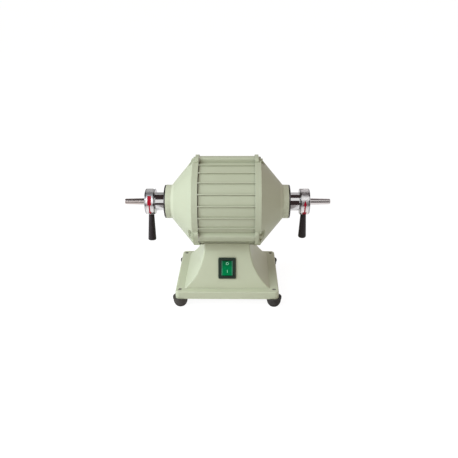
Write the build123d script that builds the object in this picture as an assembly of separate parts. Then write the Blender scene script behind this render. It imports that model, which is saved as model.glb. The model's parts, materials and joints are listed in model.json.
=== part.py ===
from build123d import *
import math
import os

os.makedirs("parts", exist_ok=True)

# Electric polishing machine: a finned motor with a tapered spindle at both ends,
# on a cast pedestal. It stands on z = 0, the shaft runs along X and the switch faces -Y.
# Lengths are in millimetres and angles in degrees.

# Clearances
fit_gap = 0.05
slip_gap = 0.3

# Shaft line and barrel
axis_height = 141.0
barrel_half = 39.7
barrel_bore_r = 58.2
barrel_wall = 3.7
fin_count = 24
fin_height = 2.0
fin_width = 1.6
rail_angles = (90.0, -30.0, -150.0)
rail_width = 13.0
rail_height = 6.7
rail_round = 3.0
rim_width = 5.4
rim_height = 2.7
lug_width = 24.0
lug_height = 4.9

# End bells
bell_flange_width = 3.6
bell_lug_height = 1.8
bell_step = 0.8
cone_length = 32.5
cone_wall = 4.0
nose_r = 24.8
nose_length = 8.1
nose_lip = 5.4
spigot_depth = 3.0
spigot_wall = 4.4
edge_round = 1.2

# Tie bolts through the rails
tie_bolt_d = 4.0
tie_head_d = 7.0
tie_head_height = 4.0
tie_socket_flats = 3.0
tie_nut_flats = 7.0
tie_nut_height = 3.2
tie_pocket_width = 20.0
tie_pocket_drop = 5.3
tie_pocket_round = 2.0
tie_seat_thick = 2.0

# Ball bearings, 17 x 40 x 12
bearing_bore_r = 8.5
bearing_outer_r = 20.0
bearing_width = 12.0
race_wall = 3.1
ball_r = 3.35
ball_count = 8
groove_gap = 0.05
cage_wall = 1.6
cage_width = 7.4
wave_washer_thick = 0.6

# Stator, windings and rotor
stack_half = 25.0
air_gap = 0.5
rotor_r = 33.0
slot_count = 24
slot_width = 4.5
slot_depth = 15.5
coil_inset = 2.0
coil_side_inset = 0.5
coil_side_lap = 1.0
end_turn_length = 12.0
end_turn_round = 3.5
end_ring_length = 8.0
end_ring_wall = 12.0
end_ring_inset = 1.0
end_fin_count = 8
end_fin_width = 2.4
end_fin_height = 3.5
end_fin_root = 2.0
end_fin_inset = 1.5
core_seat_r = 12.0
shaft_shoulder_r = 10.5

# Spindle nose: bright ring, sleeve, lever collar and taper
nose_ring_width = 2.2
nose_ring_step = 0.2
nose_ring_chamfer = 0.3
sleeve_r = 13.55
sleeve_bore_r = 9.2
sleeve_spigot_wall = 3.2
sleeve_showing = 14.0
shaft_sleeve_gap = 1.2
collar_r = 19.05
collar_length = 14.9
collar_chamfer = 1.0
collar_web = 0.9
collar_mouth = 2.8
thrust_flange_thick = 1.7
thrust_hub_r = 8.6
thrust_proud = 1.0
snap_ring_wall = 2.4
snap_ring_thick = 0.8
snap_groove_depth = 0.6
snap_ring_gap_angle = 40.0
spindle_reach = 31.0
spindle_root_d = 10.0
spindle_taper = 20.0
spindle_chamfer = 0.8
spindle_ring_gap = 0.5
spindle_lead = 1.0

# Release lever: a quarter-turn cam that pushes the thrust ring outwards
lever_swing = 75.0
eject_travel = 4.0
cam_pin_d = 4.0
cam_pin_sink = 0.4
cam_slot_gap = 0.25
cam_slot_step = 3.0
cam_cutter_over = 1.0
cam_pin_inset = 3.4
lever_stud_d = 5.0
lever_stud_depth = 4.4
lever_stud_grip = 15.0
grip_reach = 58.6
grip_start_gap = 0.7
grip_root_d = 8.3
grip_end_d = 12.2
grip_end_round = 2.2
left_lever_lean = 12.0
right_lever_lean = -2.0

# Base casting: flange, pedestal and saddle
foot_height = 14.2
base_length = 151.5
base_depth = 134.5
base_thick = 11.8
base_corner_r = 6.0
base_edge_round = 2.0
panel_foot_y = 56.9
panel_top_y = 35.9
panel_top_land = 0.8
waist_half = 33.3
waist_height = 88.5
side_arc_r = 81.0
panel_edge_round = 2.0
base_wall = 5.0
saddle_wall = 6.0
border_x = 18.75
border_y = 16.75

# Motor pad and its screws
pad_half_x = 26.0
pad_half_y = 22.0
pad_drop = 4.0
pad_screw_x = 18.0
pad_screw_y = 15.0
pad_screw_d = 5.0
pad_screw_grip = 5.0
pad_screw_head_d = 8.5
pad_screw_head_height = 3.5
lead_hole_d = 9.0

# Bottom plate and its screws
plate_thick = 1.5
plate_lap = 6.0
plate_corner = 12.0
plate_gap = 0.3
plate_screw_d = 3.0
plate_screw_length = 9.0
plate_screw_head_d = 5.6
plate_screw_head_height = 1.8

# Rubber feet and the screws over them
foot_inset_x = 6.75
foot_inset_y = 8.25
foot_rim_r = 11.15
foot_rim_height = 3.2
foot_rim_step = 0.9
foot_sole_r = 6.4
foot_bulge = 1.0
foot_bulge_share = 0.38
foot_screw_d = 3.0
foot_screw_depth = 7.0
foot_screw_head_d = 4.5
foot_screw_head_height = 1.4
foot_screw_sink = 1.7
foot_screw_slot = 0.8

# Rocker switch on the front panel
switch_height = 55.0
bezel_width = 25.5
bezel_height = 31.0
bezel_thick = 2.2
bezel_round = 1.6
switch_body_width = 21.8
switch_body_height = 28.2
switch_depth = 24.0
switch_cut_gap = 0.2
rocker_width = 16.0
rocker_swing_r = 11.4
rocker_gap = 0.35
rocker_half_angle = 8.0
rocker_valley = 1.6
rocker_body = 5.0
rocker_floor = 8.0
rocker_pivot_depth = 1.0
rocker_round = 0.8
trunnion_d = 3.0
trunnion_length = 1.2
blade_width = 6.3
blade_thick = 0.8
blade_length = 8.0
blade_hole_d = 2.0
blade_spread_x = 5.5
blade_spread_y = 8.0

# Cable gland on the rear panel
gland_height = 40.0
gland_bore_d = 6.6
gland_thread_d = 16.0
gland_flats = 19.0
gland_hex_height = 5.0
gland_dome_d = 16.0
gland_dome_end_d = 12.0
gland_dome_height = 7.0
gland_thread_length = 11.0
locknut_flats = 21.0
locknut_height = 4.0

# Run capacitor with its clip, and the terminal block
capacitor_r = 14.0
capacitor_length = 54.0
capacitor_y = 24.0
capacitor_lift = 3.0
capacitor_rim = 1.0
clip_thick = 1.2
clip_width = 12.0
clip_open_angle = 80.0
clip_foot_width = 9.0
block_length = 42.0
block_depth = 16.0
block_height = 13.0
block_y = -8.0
block_poles = 4
block_pole_d = 6.0
block_pole_depth = 5.0

# Stations along the shaft and radii that follow from the sizes above
root_r = barrel_bore_r + barrel_wall
rim_r = root_r + rim_height
lug_r = rim_r + lug_height
bell_lug_r = rim_r + bell_lug_height
tie_circle_r = (barrel_bore_r + bell_lug_r) / 2
bell_split_x = barrel_half + rim_width
cone_start_x = bell_split_x + bell_flange_width
cone_end_x = cone_start_x + cone_length
nose_end_x = cone_end_x + nose_length
bearing_seat_x = nose_end_x - nose_lip
bearing_mouth_x = bearing_seat_x - bearing_width - wave_washer_thick
sleeve_start_x = nose_end_x + nose_ring_width
collar_start_x = sleeve_start_x + sleeve_showing
collar_end_x = collar_start_x + collar_length
collar_web_x = collar_end_x - collar_mouth - collar_web
sleeve_end_x = collar_web_x - slip_gap
shaft_end_x = collar_end_x + spindle_reach
sleeve_spigot_r = sleeve_bore_r + sleeve_spigot_wall
cone_start_r = rim_r - bell_step
cone_slope = (cone_start_r - nose_r) / cone_length
cone_inner_drop = cone_wall * math.hypot(1.0, cone_slope)
pitch_r = (bearing_bore_r + bearing_outer_r) / 2
cam_pin_x = collar_start_x + cam_pin_inset
snap_ring_x = collar_end_x - snap_ring_thick - slip_gap / 2
thrust_flange_x = snap_ring_x - fit_gap - thrust_flange_thick
thrust_flange_r = sleeve_r - slip_gap
tie_pocket_x = bell_split_x + tie_seat_thick
tie_pocket_r = tie_circle_r - tie_pocket_drop

# Levels and planes of the base
base_top = foot_height + base_thick
saddle_r = root_r + fit_gap
panel_top = axis_height - math.sqrt(saddle_r ** 2 - panel_top_y ** 2)
panel_lean = math.atan2(panel_foot_y - panel_top_y, panel_top - base_top)
panel_slope = math.tan(panel_lean)
pad_face = axis_height - root_r - pad_drop
side_arc_x = waist_half + side_arc_r
cavity_half_x = base_length / 2 - border_x
cavity_half_y = base_depth / 2 - border_y
foot_x = base_length / 2 - foot_inset_x
foot_y = base_depth / 2 - foot_inset_y
plate_top = foot_height + plate_thick


def panel_y(height):
    """Distance of the leaning panel's face from the middle plane at a height."""
    return panel_foot_y - (height - base_top) * panel_slope


switch_plane = Plane(
    origin=(0, -panel_y(switch_height), switch_height),
    x_dir=(1, 0, 0),
    z_dir=(0, -math.cos(panel_lean), math.sin(panel_lean)),
)
gland_plane = Plane(
    origin=(0, panel_y(gland_height), gland_height),
    x_dir=(-1, 0, 0),
    z_dir=(0, math.cos(panel_lean), math.sin(panel_lean)),
)


def turned(points, rounds=None):
    """Solid turned about the shaft line from (x, radius) points, some corners rounded."""
    radii = [0.0] * len(points)
    for corner, radius in (rounds or {}).items():
        radii[corner] = radius
    outline = FilletPolyline(*points, radius=radii, close=True)
    return Pos(0, 0, axis_height) * revolve(make_face(outline), Axis.X)


def ring(x_start, x_end, inner_r, outer_r):
    """Plain ring about the shaft line."""
    return turned([(x_start, inner_r), (x_end, inner_r), (x_end, outer_r), (x_start, outer_r)])


def rod(x_start, x_end, radius):
    """Plain round bar on the shaft line."""
    return turned([(x_start, 0), (x_end, 0), (x_end, radius), (x_start, radius)])


def around(angle):
    """Place for a feature built upwards from the shaft line: 0 faces the front, 90 is up."""
    return Pos(0, 0, axis_height) * Rot(90.0 - angle, 0, 0)


def upright(radius, height):
    """Cylinder that stands on its own origin."""
    return Cylinder(radius, height, align=(Align.CENTER, Align.CENTER, Align.MIN))


def block(length, depth, height):
    """Box that stands on its own origin."""
    return Box(length, depth, height, align=(Align.CENTER, Align.CENTER, Align.MIN))


def hexagon(flats, height):
    """Hexagonal prism that stands on its own origin."""
    return extrude(RegularPolygon(flats / 2, 6, major_radius=False), height)


def along_x(x_start, radius_from_axis, shape):
    """Turns an upright shape to point along +X at a distance above the shaft line."""
    return Pos(x_start, 0, radius_from_axis) * Rot(0, 90, 0) * shape


def right_side(shape):
    """The right-hand end is modelled in place."""
    return shape


def left_side(shape):
    """The left-hand end is the same piece turned half round about the vertical."""
    return Rot(0, 0, 180) * shape


sides = {"left": left_side, "right": right_side}


def corner_points(x, y):
    """Four points of a rectangle about the middle."""
    return [(sx * x, sy * y) for sx in (-1, 1) for sy in (-1, 1)]


def pedestal_block(inset, floor):
    """Pedestal with scooped sides and leaning panels, made smaller all round by an inset."""
    waist = waist_half - inset
    arc_r = side_arc_r + inset
    drop = waist_height - floor
    foot_half = side_arc_x - math.sqrt(arc_r ** 2 - drop ** 2)
    half_turn = math.asin(drop / arc_r) / 2
    mid = (side_arc_x - arc_r * math.cos(half_turn), waist_height - arc_r * math.sin(half_turn))
    right = ThreePointArc((foot_half, floor), mid, (waist, waist_height))
    left = ThreePointArc((-waist, waist_height), (-mid[0], mid[1]), (-foot_half, floor))
    top = Polyline((waist, waist_height), (waist, axis_height), (-waist, axis_height), (-waist, waist_height))
    bottom = Line((-foot_half, floor), (foot_half, floor))
    front_view = Plane.XZ * make_face(right + top + left + bottom)
    lean_inset = inset / math.cos(panel_lean)
    low = panel_y(floor) - lean_inset
    high = panel_y(axis_height) - lean_inset
    side_view = Plane.YZ * make_face(
        Polyline((-low, floor), (low, floor), (high, axis_height), (-high, axis_height), close=True)
    )
    return extrude(front_view, base_depth, both=True) & extrude(side_view, base_length, both=True)


def base_casting():
    """Flange and hollow pedestal in one casting, with a saddle that carries the barrel."""
    flange = Pos(0, 0, foot_height) * extrude(
        RectangleRounded(base_length, base_depth, base_corner_r), base_thick
    )
    flange = fillet(flange.faces().sort_by(Axis.Z)[-1].edges(), base_edge_round)
    pedestal = pedestal_block(0.0, base_top)
    long_edges = [e for e in pedestal.edges() if e.bounding_box().size.Z > waist_height - base_top - 1.0]
    pedestal = fillet([e for e in long_edges if e.bounding_box().min.Z < base_top + 1.0], panel_edge_round)
    barrel = rod(-base_length, base_length, saddle_r)
    trim = Pos(0, 0, panel_top - panel_top_land) * block(base_length, base_depth, axis_height)
    casting = flange + (pedestal - barrel - trim)

    cavity = pedestal_block(base_wall, base_top)
    cavity += Pos(0, 0, foot_height) * block(2 * cavity_half_x, 2 * cavity_half_y, base_thick)
    cavity -= rod(-base_length, base_length, saddle_r + saddle_wall)
    pad_shelf = Pos(0, 0, pad_face - saddle_wall) * block(
        2 * (pad_half_x + saddle_wall), 2 * (pad_half_y + saddle_wall), axis_height
    )
    casting -= cavity - pad_shelf
    casting -= Pos(0, 0, pad_face) * block(2 * (pad_half_x + fit_gap), 2 * (pad_half_y + fit_gap), axis_height)
    casting -= Pos(0, 0, foot_height) * plate_outline(plate_gap)

    screw_hole = upright(pad_screw_d / 2 + slip_gap, axis_height)
    casting -= [Pos(x, y, foot_height) * screw_hole for x, y in corner_points(pad_screw_x, pad_screw_y)]
    casting -= Pos(0, 0, foot_height) * upright(lead_hole_d / 2, axis_height)
    foot_hole = upright(foot_screw_d / 2 + fit_gap, axis_height)
    foot_sink = Pos(0, 0, base_thick - foot_screw_sink) * upright(foot_screw_head_d / 2 + slip_gap, axis_height)
    casting -= [Pos(x, y, foot_height) * (foot_hole + foot_sink) for x, y in corner_points(foot_x, foot_y)]
    plate_hole = upright(plate_screw_d / 2 + fit_gap, plate_screw_length + slip_gap)
    casting -= [Pos(x, y, plate_top) * plate_hole for x, y in plate_screw_points()]

    cut_width = switch_body_width + 2 * switch_cut_gap
    cut_height = switch_body_height + 2 * switch_cut_gap
    casting -= switch_plane * Box(cut_width, cut_height, 4 * base_wall)
    casting -= gland_plane * Cylinder(gland_thread_d / 2 + slip_gap, 4 * base_wall)
    return casting


def plate_outline(gap):
    """Bottom plate with its corners cut off, clear of the feet screws."""
    length = 2 * (cavity_half_x + plate_lap + gap)
    depth = 2 * (cavity_half_y + plate_lap + gap)
    return extrude(chamfer(Rectangle(length, depth).vertices(), plate_corner), plate_thick)


def plate_screw_points():
    """Middle of each side of the plate's seat."""
    x = cavity_half_x + plate_lap / 2
    y = cavity_half_y + plate_lap / 2
    return [(x, 0), (-x, 0), (0, y), (0, -y)]


def bottom_plate():
    """Sheet that closes the casting from below."""
    plate = Pos(0, 0, foot_height) * plate_outline(0.0)
    hole = upright(plate_screw_d / 2 + fit_gap, plate_thick)
    return plate - [Pos(x, y, foot_height) * hole for x, y in plate_screw_points()]


def bottom_plate_screws():
    """Pan-head screws that hold the plate."""
    head = Pos(0, 0, -plate_screw_head_height) * upright(plate_screw_head_d / 2, plate_screw_head_height)
    head = fillet(head.faces().sort_by(Axis.Z)[0].edges(), plate_screw_head_height / 3)
    screw = head + upright(plate_screw_d / 2, plate_thick + plate_screw_length)
    return [Pos(x, y, foot_height) * screw for x, y in plate_screw_points()]


def rubber_feet():
    """Bowl-shaped feet with a wider rim against the flange."""
    bowl_r = foot_rim_r - foot_rim_step
    bowl_top = foot_height - foot_rim_height
    bulge = ((foot_sole_r + bowl_r) / 2 + foot_bulge, bowl_top * foot_bulge_share)
    side = ThreePointArc((foot_sole_r, 0), bulge, (bowl_r, bowl_top))
    outline = side + Polyline(
        (bowl_r, bowl_top), (foot_rim_r, bowl_top + foot_rim_step), (foot_rim_r, foot_height),
        (0, foot_height), (0, 0), (foot_sole_r, 0),
    )
    foot = revolve(Plane.XZ * make_face(outline), Axis.Z)
    foot -= Pos(0, 0, foot_height - foot_screw_depth - slip_gap) * upright(
        foot_screw_d / 2 + fit_gap, foot_height
    )
    return [Pos(x, y, 0) * foot for x, y in corner_points(foot_x, foot_y)]


def foot_screws():
    """Slotted screws sunk in the flange, one into each foot."""
    head_base = base_top - foot_screw_sink
    head = Pos(0, 0, head_base) * upright(foot_screw_head_d / 2, foot_screw_head_height)
    slot_floor = head_base + foot_screw_head_height - foot_screw_slot
    head -= Pos(0, 0, slot_floor) * block(2 * foot_screw_head_d, foot_screw_slot, foot_screw_head_height)
    shank_start = foot_height - foot_screw_depth
    shank = Pos(0, 0, shank_start) * upright(foot_screw_d / 2, head_base - shank_start)
    return [Pos(x, y, 0) * (head + shank) for x, y in corner_points(foot_x, foot_y)]


def motor_mount_screws():
    """Hexagon screws from inside the pedestal up into the motor's pad."""
    seat = pad_face - saddle_wall
    head = Pos(0, 0, seat - pad_screw_head_height) * hexagon(pad_screw_head_d, pad_screw_head_height)
    shank = Pos(0, 0, seat) * upright(pad_screw_d / 2, saddle_wall + pad_screw_grip)
    return [Pos(x, y, 0) * (head + shank) for x, y in corner_points(pad_screw_x, pad_screw_y)]


def motor_body():
    """Finned barrel with a rim at each end, three bolt rails and a mounting pad."""
    body = ring(-bell_split_x, bell_split_x, barrel_bore_r, root_r)
    body += ring(-bell_split_x, -barrel_half, barrel_bore_r, rim_r)
    body += ring(barrel_half, bell_split_x, barrel_bore_r, rim_r)
    rooted = barrel_wall / 2
    step = 360.0 / fin_count
    fin = Pos(0, 0, root_r - rooted) * block(2 * barrel_half, fin_width, fin_height + rooted)
    fins = [around(i * step) * fin for i in range(fin_count)]
    pedestal_room = pedestal_block(-slip_gap, base_top)
    body += [f - pedestal_room for f in fins]
    rail = Pos(0, 0, root_r - rooted) * block(2 * barrel_half, rail_width, rail_height + rooted)
    rail = fillet(rail.edges().filter_by(Axis.X).sort_by(Axis.Z)[-2:], rail_round)
    lug = Pos(0, 0, root_r - rooted) * block(rim_width, lug_width, lug_r - root_r + rooted)
    lug = fillet(lug.edges().filter_by(Axis.X).sort_by(Axis.Z)[-2:], lug_width / 5)
    lug_x = barrel_half + rim_width / 2
    body += [around(a) * rail for a in rail_angles]
    body += [around(a) * Pos(s * lug_x, 0, 0) * lug for a in rail_angles for s in (-1, 1)]
    pad_block = Pos(0, 0, pad_face) * block(2 * pad_half_x, 2 * pad_half_y, axis_height - pad_face)
    body += pad_block - rod(-base_length, base_length, barrel_bore_r + rooted)
    bolt_hole = along_x(-base_length, tie_circle_r, upright(tie_bolt_d / 2 + slip_gap / 2, 2 * base_length))
    body -= [around(a) * bolt_hole for a in rail_angles]
    screw_hole = upright(pad_screw_d / 2 + fit_gap, pad_screw_grip + slip_gap)
    body -= [Pos(x, y, pad_face) * screw_hole for x, y in corner_points(pad_screw_x, pad_screw_y)]
    body -= Pos(0, 0, pad_face) * upright(lead_hole_d / 2, axis_height - pad_face)
    return body


def end_bell():
    """Conical end bell: flange, spigot into the barrel, cone and bearing nose."""
    spigot_r = barrel_bore_r - fit_gap
    spigot_inner = spigot_r - spigot_wall
    boss_x = cone_start_x + (cone_start_r - cone_inner_drop - nose_r) / cone_slope
    inner_x = cone_start_x + (cone_start_r - cone_inner_drop - spigot_inner) / cone_slope
    boss_end_x = min(bearing_mouth_x, boss_x) - slip_gap
    seat_r = bearing_outer_r + fit_gap
    bell = turned(
        [
            (bell_split_x, rim_r),
            (cone_start_x, rim_r),
            (cone_start_x, cone_start_r),
            (cone_end_x, nose_r),
            (nose_end_x, nose_r),
            (nose_end_x, sleeve_spigot_r + fit_gap),
            (bearing_seat_x, sleeve_spigot_r + fit_gap),
            (bearing_seat_x, seat_r),
            (boss_end_x, seat_r),
            (boss_end_x, nose_r),
            (boss_x, nose_r),
            (inner_x, spigot_inner),
            (bell_split_x - spigot_depth, spigot_inner),
            (bell_split_x - spigot_depth, spigot_r),
            (bell_split_x, spigot_r),
        ],
        {1: bell_step / 2, 4: nose_ring_step},
    )
    lug = Pos((bell_split_x + cone_start_x) / 2, 0, barrel_bore_r) * block(
        bell_flange_width, lug_width, bell_lug_r - barrel_bore_r
    )
    lug = fillet(lug.edges().filter_by(Axis.X).sort_by(Axis.Z)[-2:], lug_width / 5)
    bell += [around(a) * lug for a in rail_angles]
    pocket = Pos(tie_pocket_x + cone_length / 2, 0, tie_pocket_r) * block(
        cone_length, tie_pocket_width, lug_r
    )
    pocket = fillet(pocket.edges().filter_by(Axis.X).sort_by(Axis.Z)[:2], tie_pocket_round)
    hole = along_x(0, tie_circle_r, upright(tie_bolt_d / 2 + slip_gap / 2, base_length))
    return bell - [around(a) * (pocket + hole) for a in rail_angles]


def tie_bolts():
    """Long cap screws that clamp both bells to the barrel."""
    shank_end = tie_pocket_x + tie_nut_height + tie_bolt_d / 4
    shank = along_x(-shank_end, tie_circle_r, upright(tie_bolt_d / 2, shank_end + tie_pocket_x))
    head = upright(tie_head_d / 2, tie_head_height)
    head -= Pos(0, 0, tie_head_height / 2) * hexagon(tie_socket_flats, tie_head_height)
    bolt = shank + along_x(tie_pocket_x, tie_circle_r, head)
    return [around(a) * bolt for a in rail_angles]


def tie_bolt_nuts():
    """Nuts in the left bell's pockets."""
    nut = hexagon(tie_nut_flats, tie_nut_height) - upright(tie_bolt_d / 2 + fit_gap, tie_nut_height)
    placed = along_x(-tie_pocket_x - tie_nut_height, tie_circle_r, nut)
    return [around(a) * placed for a in rail_angles]


def stator_core():
    """Lamination stack with open winding slots."""
    bore_r = rotor_r + air_gap
    core = ring(-stack_half, stack_half, bore_r, barrel_bore_r - fit_gap)
    slot = Pos(0, 0, rotor_r) * block(3 * stack_half, slot_width, slot_depth + air_gap)
    return core - [around(i * 360.0 / slot_count) * slot for i in range(slot_count)]


def winding():
    """Copper end turns at one end, with coil sides in half the length of the slots."""
    inner_r = rotor_r + air_gap + coil_inset
    outer_r = rotor_r + air_gap + slot_depth - slip_gap
    start = stack_half + slip_gap
    end = start + end_turn_length
    turns = turned(
        [(start, inner_r), (end, inner_r), (end, outer_r), (start, outer_r)],
        {1: end_turn_round, 2: end_turn_round},
    )
    side_length = start + coil_side_lap - slip_gap
    coil_side = Pos(slip_gap + side_length / 2, 0, inner_r + coil_side_inset) * block(
        side_length, slot_width - 2 * slip_gap, outer_r - inner_r - 2 * coil_side_inset
    )
    return turns + [around(i * 360.0 / slot_count) * coil_side for i in range(slot_count)]


def rotor_core():
    """Rotor laminations on the shaft's thick seat."""
    return ring(-stack_half, stack_half, core_seat_r + fit_gap, rotor_r)


def rotor_end_rings():
    """Cast end rings with small fan vanes, one at each end of the core."""
    outer_r = rotor_r - end_ring_inset
    inner_r = outer_r - end_ring_wall
    start = stack_half
    end = start + end_ring_length
    end_ring = turned(
        [(start, inner_r), (end, inner_r), (end, outer_r), (start, outer_r)], {2: edge_round}
    )
    vane = Pos(end + (end_fin_height - end_fin_root) / 2, 0, inner_r + end_fin_inset) * block(
        end_fin_height + end_fin_root, end_fin_width, end_ring_wall - 2 * end_fin_inset
    )
    end_ring += [around(i * 360.0 / end_fin_count) * vane for i in range(end_fin_count)]
    return [left_side(end_ring), end_ring]


def motor_shaft():
    """One steel shaft: core seat, bearing seats, sleeve passage and tapered spindles."""
    seat_end = stack_half + end_ring_length
    sleeve_pass_r = sleeve_bore_r - shaft_sleeve_gap
    taper_start = collar_web_x - spindle_lead
    root_radius = spindle_root_d / 2
    tip_radius = root_radius - (shaft_end_x - taper_start) / spindle_taper / 2
    half = [
        (seat_end, core_seat_r),
        (seat_end, shaft_shoulder_r),
        (bearing_mouth_x, shaft_shoulder_r),
        (bearing_mouth_x, bearing_bore_r),
        (bearing_seat_x, bearing_bore_r),
        (bearing_seat_x, sleeve_pass_r),
        (taper_start, sleeve_pass_r),
        (taper_start, root_radius),
        (shaft_end_x - spindle_chamfer, tip_radius),
        (shaft_end_x, tip_radius - spindle_chamfer),
    ]
    mirrored = [(-x, r) for x, r in reversed(half)]
    left_shift = wave_washer_thick
    mirrored = [(x - left_shift, r) if x == -bearing_mouth_x else (x, r) for x, r in mirrored]
    return turned([(-shaft_end_x, 0)] + mirrored + half + [(shaft_end_x, 0)])


def bearing(side):
    """Outer race, inner race, balls and cage of one deep-groove bearing."""
    start = bearing_mouth_x + (wave_washer_thick if side == "left" else 0.0)
    end = start + bearing_width
    middle = (start + end) / 2
    groove = Pos(middle, 0, axis_height) * Rot(0, 90, 0) * Torus(pitch_r, ball_r + groove_gap)
    outer = ring(start, end, bearing_outer_r - race_wall, bearing_outer_r) - groove
    inner = ring(start, end, bearing_bore_r + fit_gap / 2, bearing_bore_r + race_wall) - groove
    cage = ring(
        middle - cage_width / 2, middle + cage_width / 2, pitch_r - cage_wall / 2, pitch_r + cage_wall / 2
    )
    places = [around(i * 360.0 / ball_count) * Pos(middle, 0, pitch_r) for i in range(ball_count)]
    cage -= [place * Sphere(ball_r + 3 * groove_gap) for place in places]
    balls = [place * Sphere(ball_r) for place in places]
    return {"outer_race": outer, "inner_race": inner, "cage": cage, "balls": balls}


def wave_washer():
    """Preload washer, pressed flat between the right bearing and its seat."""
    end = bearing_seat_x
    inner_r = bearing_outer_r - race_wall + fit_gap
    return ring(end - wave_washer_thick, end, inner_r, bearing_outer_r - slip_gap)


def cam_slot():
    """Helical slot of the sleeve, in which the cam pin climbs outwards."""
    cutter = upright(cam_pin_d / 2 + cam_slot_gap, sleeve_r - sleeve_bore_r + 2 * cam_cutter_over)
    steps = math.ceil(lever_swing / cam_slot_step)
    cuts = []
    for i in range(steps + 1):
        share = i / steps
        start = Pos(cam_pin_x + share * eject_travel, 0, sleeve_bore_r - cam_cutter_over)
        cuts.append(around(90.0 + share * lever_swing) * start * cutter)
    return cuts


def nose_sleeve():
    """Fixed chrome sleeve: spigot in the bell's nose, bearing surface of the collar."""
    sleeve = turned([
        (bearing_seat_x + slip_gap, sleeve_bore_r),
        (sleeve_end_x, sleeve_bore_r),
        (sleeve_end_x, sleeve_r),
        (sleeve_start_x, sleeve_r),
        (sleeve_start_x, sleeve_spigot_r),
        (bearing_seat_x + slip_gap, sleeve_spigot_r),
    ])
    return sleeve - cam_slot()


def nose_ring():
    """Polished ring that covers the end of the bell's nose round the sleeve."""
    outer_r = nose_r - nose_ring_step
    return turned([
        (nose_end_x, sleeve_spigot_r + fit_gap),
        (sleeve_start_x, sleeve_spigot_r + fit_gap),
        (sleeve_start_x, outer_r - nose_ring_chamfer),
        (sleeve_start_x - nose_ring_chamfer, outer_r),
        (nose_end_x, outer_r),
    ])


def lever_collar():
    """Chrome collar that turns on the sleeve and carries the lever."""
    bore_r = sleeve_r + fit_gap
    collar = turned([
        (collar_start_x, bore_r),
        (collar_web_x, bore_r),
        (collar_web_x, thrust_hub_r),
        (collar_web_x + collar_web, thrust_hub_r),
        (collar_web_x + collar_web, bore_r),
        (snap_ring_x - fit_gap, bore_r),
        (snap_ring_x - fit_gap, bore_r + snap_groove_depth),
        (snap_ring_x + snap_ring_thick + fit_gap, bore_r + snap_groove_depth),
        (snap_ring_x + snap_ring_thick + fit_gap, bore_r),
        (collar_end_x, bore_r),
        (collar_end_x, collar_r - collar_chamfer),
        (collar_end_x - collar_chamfer, collar_r),
        (collar_start_x + collar_chamfer, collar_r),
        (collar_start_x, collar_r - collar_chamfer),
    ])
    pin_hole = upright(cam_pin_d / 2 + fit_gap, 2 * collar_r)
    collar -= Pos(cam_pin_x, 0, axis_height) * pin_hole
    return collar - lever_place() * (Pos(0, 0, collar_r - lever_stud_depth) * upright(
        lever_stud_d / 2 + fit_gap, lever_stud_depth + collar_r
    ))


def lever_place():
    """Place for a feature built outwards from the shaft line along the lever."""
    return Pos((collar_start_x + collar_end_x) / 2, 0, axis_height) * Rot(180, 0, 0)


def cam_pin():
    """Pin fixed in the collar, with its tip in the sleeve's helical slot."""
    tip_end_r = sleeve_bore_r + slip_gap
    length = collar_r - cam_pin_sink - tip_end_r
    return Pos(cam_pin_x, 0, axis_height + tip_end_r) * upright(cam_pin_d / 2, length)


def thrust_ring():
    """Ring that the collar pushes outwards against the tool on the taper."""
    bore_r = spindle_root_d / 2 + spindle_ring_gap
    end = collar_end_x + thrust_proud
    return turned([
        (thrust_flange_x, bore_r),
        (end, bore_r),
        (end, thrust_hub_r),
        (thrust_flange_x + thrust_flange_thick, thrust_hub_r),
        (thrust_flange_x + thrust_flange_thick, thrust_flange_r),
        (thrust_flange_x, thrust_flange_r),
    ])


def snap_ring():
    """Open spring ring that keeps the thrust ring in the collar."""
    outer_r = sleeve_r + fit_gap + snap_groove_depth - fit_gap
    whole = ring(snap_ring_x, snap_ring_x + snap_ring_thick, outer_r - snap_ring_wall, outer_r)
    gap_width = 2 * outer_r * math.sin(math.radians(snap_ring_gap_angle / 2))
    opening = block(4 * snap_ring_thick, gap_width, 2 * outer_r)
    return whole - Pos(snap_ring_x, 0, axis_height) * opening


def lever_stud():
    """Steel stud screwed into the collar."""
    start = collar_r - lever_stud_depth
    length = lever_stud_depth + grip_start_gap + lever_stud_grip
    return lever_place() * Pos(0, 0, start) * upright(lever_stud_d / 2, length)


def lever_grip():
    """Black grip that widens towards its rounded end."""
    start = collar_r + grip_start_gap
    hole_r = lever_stud_d / 2 + fit_gap
    hole_end = start + lever_stud_grip + slip_gap
    outline = FilletPolyline(
        (hole_r, start), (grip_root_d / 2, start), (grip_end_d / 2, grip_reach), (0, grip_reach),
        (0, hole_end), (hole_r, hole_end),
        radius=[0, edge_round / 2, grip_end_round, 0, 0, 0], close=True,
    )
    return lever_place() * revolve(Plane.XZ * make_face(outline), Axis.Z)


def leaned(shape, angle):
    """Turns a nose piece about the shaft line to where its lever rests."""
    return Pos(0, 0, axis_height) * Rot(angle, 0, 0) * Pos(0, 0, -axis_height) * shape


def spindle_nose(side):
    """Pieces of one nose, with the lever leaning as it is left at rest."""
    lean = left_lever_lean if side == "left" else -right_lever_lean
    pieces = {
        "nose_sleeve": nose_sleeve(),
        "nose_ring": nose_ring(),
        "lever_collar": lever_collar(),
        "cam_pin": cam_pin(),
        "thrust_ring": thrust_ring(),
        "snap_ring": snap_ring(),
        "lever_stud": lever_stud(),
        "lever_grip": lever_grip(),
    }
    return {name: sides[side](leaned(shape, lean)) for name, shape in pieces.items()}


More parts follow.
